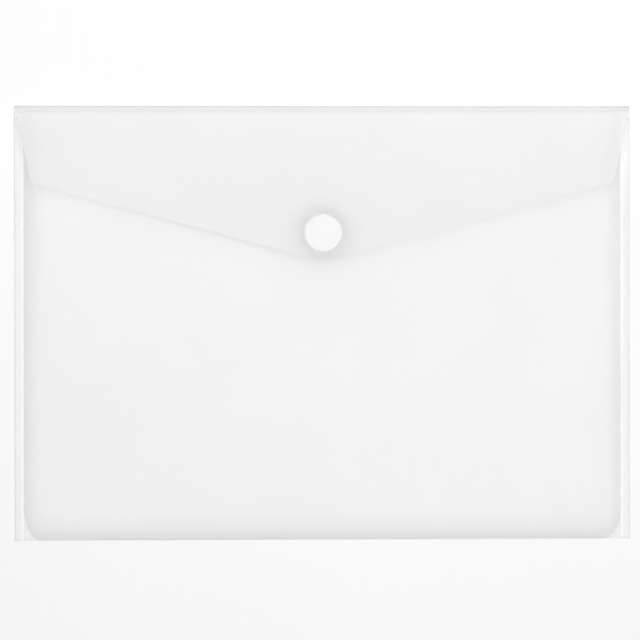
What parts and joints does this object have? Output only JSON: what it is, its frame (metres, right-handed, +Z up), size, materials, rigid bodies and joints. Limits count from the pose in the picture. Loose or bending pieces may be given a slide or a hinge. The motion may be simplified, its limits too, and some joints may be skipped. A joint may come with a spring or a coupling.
{
  "type": "document wallet",
  "caption": "Frosted translucent plastic envelope wallet for loose papers, with welded sides and a shallow V flap closed by a round hook-and-loop coin.",
  "frame": {"origin": "centre of the wallet's footprint, on the surface it lies on", "axes": "+X across the width, +Y from the bottom fold to the top fold, +Z up out of the front"},
  "size_m": [0.335, 0.236, 0.008],
  "materials": {
    "frosted_sheet": "fine frosted, translucent",
    "weld": "fused, slightly clearer",
    "crease": "scored and whitened",
    "adhesive": "clear acrylic film",
    "coin_tape": "woven white nylon",
    "hooks": "nylon monofilament",
    "loops": "napped nylon"
  },
  "bodies": {
    "pocket": {"back_panel": "frosted_sheet", "bottom_fold": "frosted_sheet", "front_panel": "frosted_sheet", "left_side_weld": "weld", "right_side_weld": "weld", "lower_crease": "crease", "hook_adhesive": "adhesive", "hook_tape": "coin_tape", "hook_filaments": "hooks"},
    "spine": {"spine_strip": "frosted_sheet", "upper_crease": "crease"},
    "flap": {"flap_panel": "frosted_sheet", "loop_adhesive": "adhesive", "loop_tape": "coin_tape", "loop_pile": "loops"}
  },
  "joints": [
    {"name": "spine_hinge", "type": "hinge", "parent": "pocket", "child": "spine", "pos_m": [0, 0.1179, 0.0001], "axis": [-1, 0, 0], "range_deg": [0, 123]},
    {"name": "flap_hinge", "type": "hinge", "parent": "spine", "child": "flap", "pos_m": [0, 0.1144, 0.0054], "axis": [-1, 0, 0], "range_deg": [0, 53]}
  ]
}
